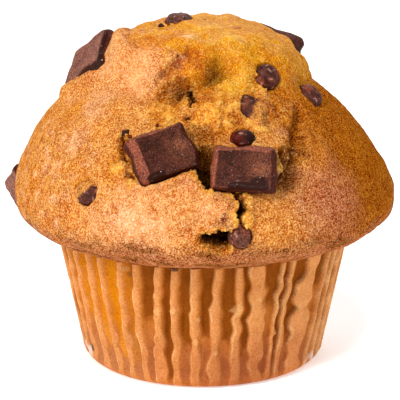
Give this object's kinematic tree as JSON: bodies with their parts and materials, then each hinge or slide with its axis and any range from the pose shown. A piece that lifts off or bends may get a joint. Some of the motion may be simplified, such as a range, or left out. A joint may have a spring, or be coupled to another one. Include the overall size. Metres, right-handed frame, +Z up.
{
  "type": "chocolate chunk muffin",
  "caption": "Domed muffin with a cracked golden crust, square chocolate chunks and round chocolate chips, in a pleated paper case.",
  "frame": {"origin": "centre of the flat base of the paper case, on the surface that the muffin stands on", "axes": "+Z up through the crown, -Y towards the front with the large pair of chunks, +X to the right of it"},
  "size_m": [0.0799, 0.0762, 0.07],
  "materials": {
    "crust": "golden baked crust, finely grained, browner towards the rim, paler and moist on the crown",
    "paper": "thin greaseproof paper, soaked to a translucent tan, with pale fold lines",
    "chocolate": "dark chocolate, satin on the faces and glossy where it melted"
  },
  "bodies": {
    "root": {"paper_case": "paper", "muffin": "crust", "chunk_front_left": "chocolate", "chunk_front_right": "chocolate", "chunk_upper_left": "chocolate", "chunk_upper_right": "chocolate", "chunk_left_edge": "chocolate", "chunk_back_left": "chocolate", "chunk_back_right": "chocolate", "chunk_back_top": "chocolate", "chip_crown": "chocolate", "chip_torn": "chocolate", "chip_shoulder": "chocolate", "chip_left": "chocolate", "chip_low": "chocolate", "chip_melted": "chocolate", "chip_top": "chocolate", "chip_right_side": "chocolate", "chip_left_side": "chocolate", "chip_back_high": "chocolate", "chip_back_low": "chocolate", "chip_back_side": "chocolate"}
  },
  "joints": []
}
